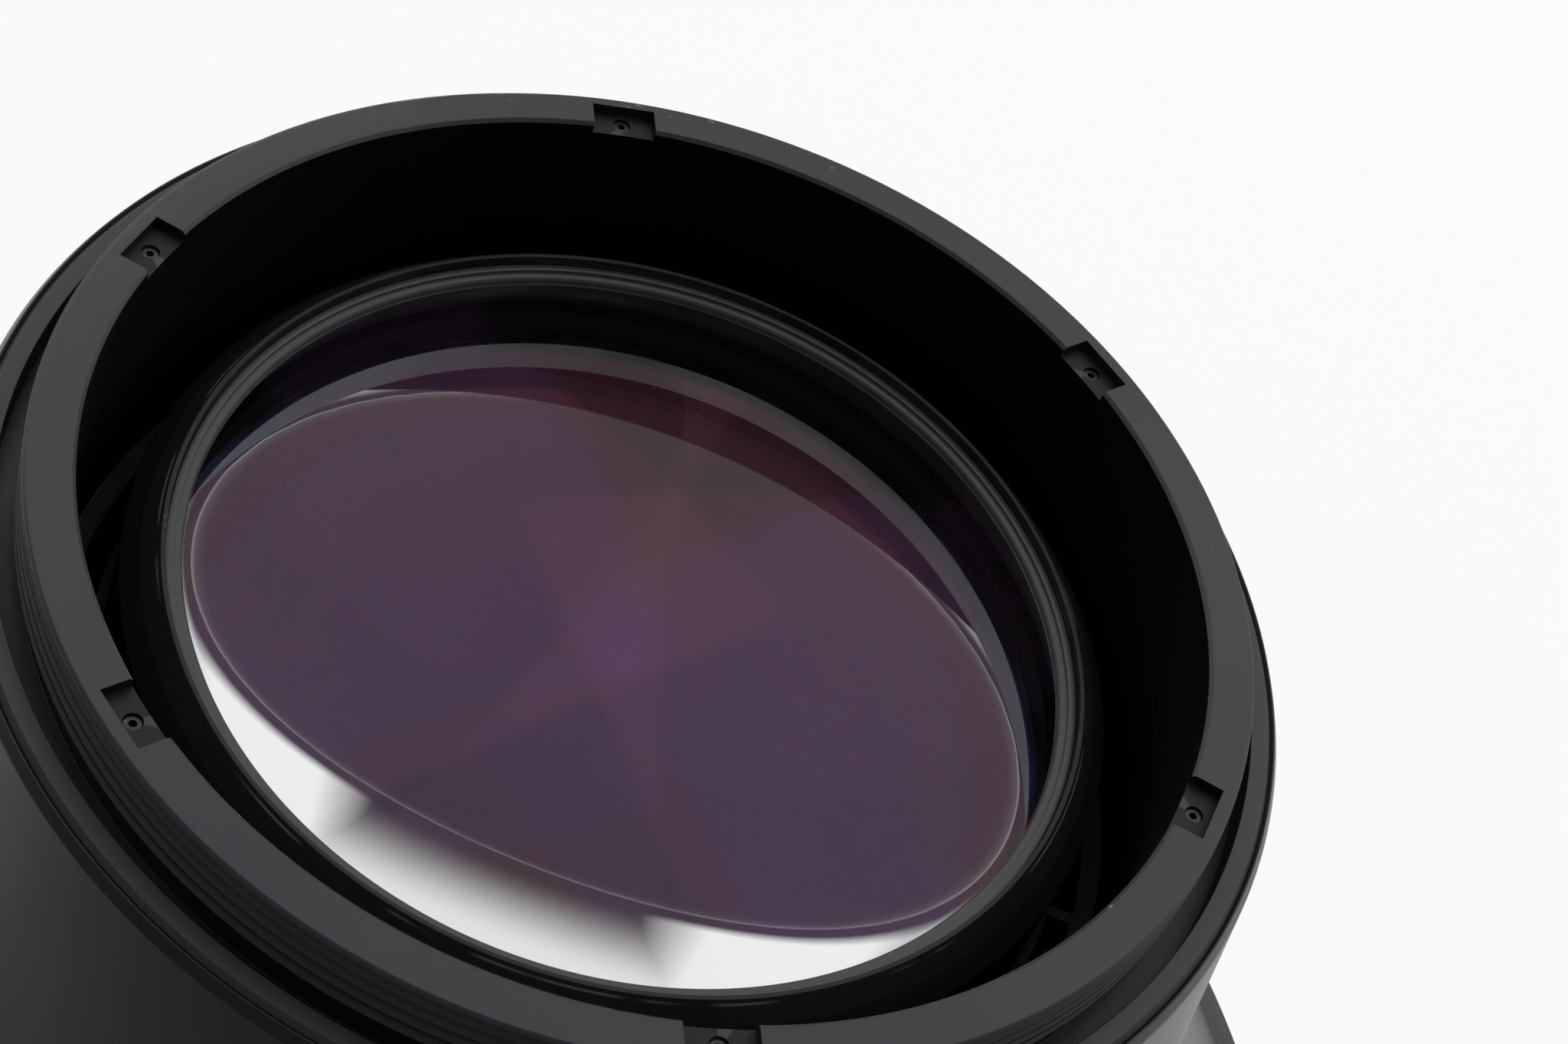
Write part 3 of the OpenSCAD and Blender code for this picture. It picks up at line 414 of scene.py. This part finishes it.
CELL_BLACK = turned_finish("blackened_cell", (0.009, 0.0095, 0.0105), 0.42, shine=0.35, marks=0.6,
                           grain=0.1, dust=0.01, worn=0.25, scored=0.5)
nut = outline_to_section([(74.0, 29.45, 0.3), (80.0, 29.45, 0.1), (80.0, 31.45, 0.1), (74.0, 31.45, 0.1)])
turn_section(nut)
cell_nut = seat_piece("inner_cell_nut", nut, "converter", "baffle_black", "inner_cell_ring", CELL_BLACK)
cut_each(cell_nut, ring_of(4, 73.0, 20.0), add_block, 0.0, 3.2, 4.0, 28.5, 30.4)

# Rear barrel: the tapered black tube between bell and mount, turned from aluminium and sprayed like the bell.
# Six socket head screws come up through the bell's inner flange into it, and a rubber ring seals the joint.
tube = outline_to_section([
    (51.0, bell_top), (joint_r, bell_top, 0.22), (59.92, 110.91, 0.12), (59.37, 111.91, 0.06),
    (59.25, 111.91, 0.04), (59.05, 111.71), (59.05, 108.81), (58.2, 108.81), (58.2, 104.21), (52.95, 104.21),
    (52.95, 83.914), (50.0, 83.914), (50.0, 78.014), (51.0, 78.014)])
turn_section(tube)
barrel = seat_piece("rear_barrel_tube", tube, "converter", "barrel_black", "rear_barrel",
                    BELL_PAINT, MATT_INSIDE)
cut_each(barrel, barrel_screws, add_round, 71.0, 80.06, 1.55)
mouth_paint_r, foot_paint = 0.0590, 0.0721
for face in barrel.data.polygons:
    painted = math.hypot(face.center.x, face.center.y) > mouth_paint_r and face.center.z > foot_paint
    face.material_index = 0 if painted else 1

seal = bmesh.new()
groove_middle = Matrix.Translation((62.288 * MM, 0, 71.364 * MM))
bmesh.ops.create_circle(seal, cap_ends=False, segments=24, radius=0.6 * MM,
                        matrix=groove_middle @ Matrix.Rotation(math.pi / 2, 4, "X"))
turn_section(seal, 160)
seat_piece("barrel_sealing_ring", seal, "converter", "seal_rubber", "barrel_seal", RUBBER)

screw = outline_to_section([
    (0.0, 65.014), (2.75, 65.014, 0.3), (2.75, 68.014, 0.05), (1.5, 68.014), (1.5, 79.8, 0.2), (0.0, 80.014)])
turn_section(screw, 40)
repeat_at(screw, barrel_screws)
tube_screws = seat_piece("barrel_socket_screws", screw, "converter", "screw_black", "barrel_screws",
                         SCREW_BLACK)
socket_r = 1.443
cut_each(tube_screws, barrel_screws, add_round, 64.0, 66.514, socket_r, sides=6)

# Stray light baffle: a thin blackened cone with a grooved inside, seated in the barrel's lower step.
# It keeps light that strays past the inner pair away from the rear glass.
cone_top, cone_low = (43.5, 78.0), (53.3, 68.014)
ridges, groove_deep = 12, 0.45
grooves = []
for step in range(1, ridges):
    r, z = (top + (low - top) * step / ridges for top, low in zip(cone_top, cone_low))
    grooves += [(r, z), (r + groove_deep, z - 0.02)]
cone = outline_to_section([
    (43.5, 77.964), *grooves, (53.3, 68.014, 0.1), (54.5, 68.014, 0.1), (45.9, 76.464), (50.95, 76.464, 0.1),
    (50.95, 77.964, 0.1)])
turn_section(cone)
seat_piece("stray_light_cone", cone, "converter", "baffle_black", "stray_light_baffle", MATT_INSIDE)

# Rear spacer ring: a plain blackened ring between the cemented pair and the third glass.
# Its lower end is cut to the third glass's curve, and it is held only by the glass above and below it.
spacer = outline_to_section([
    (40.0, 89.563, 0.08), (41.4, 89.2, 0.04), (41.4, 93.401, 0.06), (40.0, 93.401, 0.08)])
turn_section(spacer)
seat_piece("rear_glass_spacer", spacer, "converter", "baffle_black", "rear_spacer_ring", MATT_INSIDE)

# Rear cell: the turned inner barrel around the rear glass. Two cones lead from its lip to its side,
# and the lathe's fine marks still show on them. It is made of aluminium, blackened and a little scored.
FINE_TURNS = 360
cell = outline_to_section([
    (41.95, 108.02, 0.05), (42.35, 108.02, 0.05), (43.95, 106.42, 0.12), (45.5, 104.62, 0.15), (45.5, 84.864),
    (46.7, 84.864, 0.1), (46.7, 82.064, 0.1), (45.5, 82.064), (45.5, 78.514, 0.2), (39.0, 78.514, 0.2),
    (39.0, 85.114, 0.1), (41.45, 85.114), (41.45, 105.38), (41.95, 105.38)])
turn_section(cell, FINE_TURNS)
seat_piece("rear_glass_cell", cell, "converter", "cell_black", "rear_cell", CELL_BLACK)

# Rear retaining ring: a stepped ring, anodised and rubbed a little paler than the cell.
# It is screwed into the cell's lip over the rear glass.
RUBBED_RING = turned_finish(
    "rubbed_anodised_ring", (0.055, 0.058, 0.065), 0.36, marks=0.3, grain=0.1, dust=0.02, worn=0.6)
keep = outline_to_section([
    (41.9, 105.424), (41.9, 107.024, 0.08), (41.14, 107.024, 0.08), (41.14, 106.624, 0.04), (40.5, 106.624),
    (40.33, 106.404, 0.04), (40.33, 105.727, 0.04), (41.4, 105.424)])
turn_section(keep, FINE_TURNS)
seat_piece("rear_glass_ring", keep, "converter", "ring_black", "rear_retaining_ring", RUBBED_RING)

# Cell spider: a ledge ring, three thin radial ribs and a hub, milled from one blackened plate.
# The hub rests on the rear cell's flange and the ledge ring on the barrel's step.
web = outline_to_section([(48.9, 83.914, 0.1), (52.9, 83.914, 0.1), (52.9, 89.914), (48.9, 89.914, 0.15)])
turn_section(web)
hub = outline_to_section([
    (45.55, 84.914, 0.1), (46.7, 84.914, 0.1), (46.7, 89.914, 0.12), (45.55, 89.914, 0.12)])
turn_section(hub)
hub_mesh = bpy.data.meshes.new("hub")
hub.to_mesh(hub_mesh)
hub.free()
web.from_mesh(hub_mesh)
bpy.data.meshes.remove(hub_mesh)
for place in ring_of(3, 46.1, 67.0):
    add_block(web, place, 0.0, 3.2, 1.2, 84.914, 89.914)
seat_piece("cell_spider_web", web, "converter", "cell_black", "cell_spider", CELL_BLACK)

# Bore liner: a dull black sleeve between the spider and the collar's chamber.
# It slides into the barrel and keeps the wall behind the collar from shining.
DEEP_BLACK = turned_finish("deep_black_lining", (0.0035, 0.0038, 0.0036), 0.7, shine=0.08, marks=0.2,
                           grain=0.15, dust=0.01)
sleeve = outline_to_section([(50.85, 89.914), (52.9, 89.914), (52.9, 104.11), (50.85, 104.11, 0.1)])
turn_section(sleeve)
seat_piece("bore_lining", sleeve, "converter", "liner_black", "bore_liner", DEEP_BLACK)

# Glide washers: two flat white plastic rings that the collar's flange turns between.
# One lies on the barrel's step and the other under the keeper ring.
WASHER_WHITE = turned_finish(
    "white_glide_plastic", (0.7, 0.68, 0.62), 0.5, marks=0.1, grain=0.2, cloud=0.04)
washer_out, washer_thick = 57.85, 0.5
for name, node, inner, low in (
        ("upper_glide_ring", "upper_glide_washer", 56.9, 108.31),
        ("lower_glide_ring", "lower_glide_washer", 53.2, 104.21)):
    high = low + washer_thick
    washer = outline_to_section([
        (inner, low, 0.08), (washer_out, low, 0.08), (washer_out, high, 0.08), (inner, high, 0.08)])
    turn_section(washer, 200)
    seat_piece(name, washer, "converter", "glide_white", node, WASHER_WHITE)

# Mount collar: the free-turning threaded ring, turned from aluminium and anodised black.
# Its bore is blackened. A 1.5 mm thread runs round its outside, and six pockets are milled in its
# rear face for the set screws.
COLLAR_BLACK = turned_finish("black_anodised_collar", (0.026, 0.0285, 0.036), 0.4, marks=0.18, grain=0.2,
                             dust=0.035, worn=0.8)
# The pockets' faces get a darker black than the collar: painted shade in these recesses.
POCKET_PAINTED_SHADE = turned_finish(
    "milled_pocket_painted_shade", (0.009, 0.0095, 0.011), 0.5, shine=0.3, marks=0.05, grain=0.5)
ring = outline_to_section([
    (50.6, 104.81, 0.1), (50.6, 117.66, 0.05), (50.95, 118.01, 0.06), (54.7, 118.01, 0.1),
    (55.0, 117.71, 0.1), (55.0, 111.76, 0.05), (54.15, 110.91, 0.1), (54.15, 108.21, 0.1),
    (57.85, 108.21, 0.06), (58.15, 107.91, 0.06), (58.15, 105.11), (57.85, 104.81)])
turn_section(ring)
collar = seat_piece("threaded_collar", ring, "collar", "collar_black", "mount_collar",
                    COLLAR_BLACK, DEEP_BLACK, POCKET_PAINTED_SHADE)

pitch, turns, per_turn = 1.5, 6, 160
thread_root, thread_out, half_groove = 54.3, 55.25, 0.74
thread_start, thread_turn = 119.2, 8.6
cuts = bmesh.new()
groove = ((thread_root, thread_start), (thread_out, thread_start + half_groove),
          (thread_out, thread_start - half_groove))
cuts.faces.new([cuts.verts.new((r * MM, 0, z * MM)) for r, z in groove])
bmesh.ops.spin(cuts, geom=cuts.verts[:] + cuts.edges[:] + cuts.faces[:], cent=(0, 0, 0), axis=(0, 0, 1),
               dvec=(0, 0, -pitch * MM / per_turn), angle=-2 * math.pi * turns, steps=per_turn * turns,
               use_merge=False)
bmesh.ops.rotate(cuts, cent=(0, 0, 0), matrix=Matrix.Rotation(math.radians(thread_turn), 3, "Z"),
                 verts=cuts.verts[:])
bmesh.ops.recalc_face_normals(cuts, faces=cuts.faces[:])
cut_from(collar, cuts)

pocket_wide, pocket_deep, pocket_floor = 6.2, 3.9, 116.91
set_screws = ring_of(6, 52.1)
cut_each(collar, ring_of(6, 49.6), add_block, 0.0, pocket_deep, pocket_wide, pocket_floor, 119.5)
cut_each(collar, set_screws, add_round, 111.96, 117.4, 0.85, sides=24)
bore_r, bevel_r, pocket_back_r = 0.05062, 0.0508, 0.0536
for face in collar.data.polygons:
    around, high = math.hypot(face.center.x, face.center.y), face.center.z
    on_bevel = abs(around - bevel_r) <= 0.0003
    # Faces inside the pockets take the pockets' painted shade.
    in_pocket = around < pocket_back_r and 0.1119 < high < 0.11797 and not on_bevel
    face.material_index = 1 if around < bore_r else 2 if in_pocket else 0

# Set screws: six black hexagon socket screws, one in each pocket of the collar.
# They are screwed in until their tops lie just below the pocket's floor.
screw = outline_to_section([
    (0.0, 112.66), (0.7, 112.66, 0.05), (0.8, 112.9), (0.8, 116.66, 0.06), (0.0, 116.66)])
turn_section(screw, 32)
repeat_at(screw, set_screws)
pins = seat_piece("collar_socket_screws", screw, "collar", "screw_black", "collar_set_screws", SCREW_BLACK)
key_r = 0.404
cut_each(pins, set_screws, add_round, 115.76, 117.5, key_r, sides=6)

# Keeper ring: the bevelled, anodised ring that keeps the collar's flange in.
# It is pressed into the barrel's mouth over the upper glide washer.
cover = outline_to_section([
    (56.9, 108.81), (56.9, 112.21, 0.1), (58.5, 112.21, 0.06), (59.0, 111.71, 0.06), (59.0, 108.81)])
turn_section(cover)
seat_piece("collar_keeper", cover, "converter", "ring_black", "collar_keeper_ring", RING_BLACK)

# Studio floor: plain and white to the camera, with painted shade on the camera's side of the object where
# gloss mirrors it.
# Seen through the glass, inside the front ring, it has painted shade for the lens's own shade: dark against
# the ring's lip and paler away from it, with two painted bright patches where the glass gathers light.
sheet = bmesh.new()
bmesh.ops.create_grid(sheet, x_segments=1, y_segments=1, size=4.0, matrix=Matrix.Translation((0, 0, -0.0002)))
floor_mesh = bpy.data.meshes.new("floor")
sheet.to_mesh(floor_mesh)
sheet.free()
floor = bpy.data.objects.new("floor", floor_mesh)
bpy.context.scene.collection.objects.link(floor)
white = bpy.data.materials.new("white_floor_with_painted_shade")
white.use_nodes = True
tree = white.node_tree
tree.nodes.remove(tree.nodes["Principled BSDF"])
place = add_node(tree, "TexCoord").outputs["Object"]
axes = add_node(tree, "SeparateXYZ", {0: place})
rays = add_node(tree, "LightPath").outputs
by_camera, by_gloss, by_glass = rays["Is Camera Ray"], rays["Is Glossy Ray"], rays["Is Transmission Ray"]
# Painted shade: what gloss mirrors of the floor grows dark towards the camera's side of the object.
from_camera = (0.777, 0.629, 0.0)
away = add_node(tree, "VectorMath", {0: place, 1: from_camera}, operation="DOT_PRODUCT").outputs["Value"]
painted_mirror_shade = rise(tree, away, -0.22, 0.12, 0.08, 0.95, interpolation_type="SMOOTHSTEP")

# Painted shade: inside the front ring the floor darkens towards the ring's lip, as seen through the glass.
lip_r, painted_shade_end_r = 0.0887, 0.0838
across = add_node(tree, "VectorMath", {0: place}, operation="LENGTH").outputs["Value"]
painted_lip_shade = rise(tree, across, lip_r, painted_shade_end_r, 0.03, 0.9, interpolation_type="SMOOTHSTEP")
# Painted light: two bright patches, set by bearing round the axis, where the glass gathers light.
bearing = calc(tree, "MULTIPLY", calc(tree, "ARCTAN2", axes.outputs[1], axes.outputs[0]), 180 / math.pi / 100)
painted_light_patches = add_node(tree, "ValToRGB", {0: bearing})
stops = ((0.2, 0.2), (0.23, 1.0), (0.3, 1.0), (0.335, 0.0), (0.47, 0.0), (0.5, 1.0), (0.56, 1.0), (0.59, 0.3))
for count, (at, level) in enumerate(stops):
    elements = painted_light_patches.color_ramp.elements
    stop = elements[count] if count < 2 else elements.new(at)
    stop.position, stop.color = at, (level, level, level, 1)
clear_of_lip = rise(tree, across, 0.08875, 0.0884)
painted_through_glass = calc(tree, "MAXIMUM", painted_lip_shade, calc(tree, "MULTIPLY", painted_light_patches.outputs[0], clear_of_lip))

# The floor's glow: even white to the camera; to gloss and glass it carries the painted shade and painted
# light above.
glow_with_painted_light = tone(tree, by_glass, calc(tree, "MULTIPLY", by_gloss, painted_mirror_shade), painted_through_glass)
glow_with_painted_light = calc(tree, "MAXIMUM", glow_with_painted_light, by_camera)
bounced_share, camera_share = 0.85, 0.9
share = calc(tree, "MULTIPLY", calc(tree, "MAXIMUM", by_gloss, by_glass), bounced_share)
share = calc(tree, "MAXIMUM", share, calc(tree, "MULTIPLY", by_camera, camera_share))
lit = add_node(tree, "BsdfDiffuse", {"Color": (0.86, 0.86, 0.86, 1)})
glow = add_node(tree, "Emission", {"Color": (1, 1, 1, 1), "Strength": glow_with_painted_light})
both = add_node(tree, "MixShader", {0: share, 1: lit.outputs[0], 2: glow.outputs[0]})
tree.links.new(both.outputs[0], tree.nodes["Material Output"].inputs[0])
floor_mesh.materials.append(white)

# Studio light: a room of plain grey light that is darker behind the camera and shows white to it.
# Two soft lamps stand on the far side, with a gap between them.
world = bpy.data.worlds.new("studio")
bpy.context.scene.world = world
world.use_nodes = True
tree = world.node_tree
sky = tree.nodes["Background"]
sky.inputs[0].default_value = (1, 1, 1, 1)
heading = add_node(tree, "TexCoord").outputs["Generated"]
far_and_high = (0.66, 0.53, 0.53)
away = add_node(tree, "VectorMath", {0: heading, 1: far_and_high}, operation="DOT_PRODUCT").outputs["Value"]
room = rise(tree, away, -0.6, 0.9, 0.12, 0.45)
seen_white = add_node(tree, "LightPath").outputs["Is Camera Ray"]
tree.links.new(calc(tree, "MAXIMUM", room, seen_white), sky.inputs[1])

lamp_wide = 1.4
for name, place, power in (
        ("softbox_right", (0.98, -0.1, 0.85), 5.0),
        ("softbox_left", (0.1, 0.98, 0.85), 4.5)):
    lamp = bpy.data.lights.new(name, "AREA")
    lamp.size, lamp.energy = lamp_wide, power
    lamp_object = bpy.data.objects.new(name, lamp)
    facing = Vector(place).to_track_quat("Z", "Y").to_matrix().to_4x4()
    lamp_object.matrix_world = Matrix.Translation(place) @ facing
    bpy.context.scene.collection.objects.link(lamp_object)

# Camera: at the photograph's place and angle.
# Its focal length was fitted in pixels of the photograph's width.
focal_pixels, photo_pixels, sensor_mm = 4055.96, 2048, 36.0
camera_data = bpy.data.cameras.new("camera")
camera_data.sensor_fit, camera_data.sensor_width = "HORIZONTAL", sensor_mm
camera_data.lens = focal_pixels / photo_pixels * sensor_mm
camera_data.clip_start = 0.01
camera = bpy.data.objects.new("camera", camera_data)
right = Vector((0.773016, -0.567892, 0.282744))
down = Vector((-0.287109, -0.710619, -0.642331))
ahead = Vector((0.565698, 0.415355, -0.712367))
facing = Matrix((right, -down, -ahead)).transposed().to_4x4()
camera.matrix_world = Matrix.Translation((-0.145307, -0.118242, 0.313603)) @ facing
bpy.context.scene.collection.objects.link(camera)
bpy.context.scene.camera = camera
bpy.context.scene.view_settings.view_transform = "Standard"
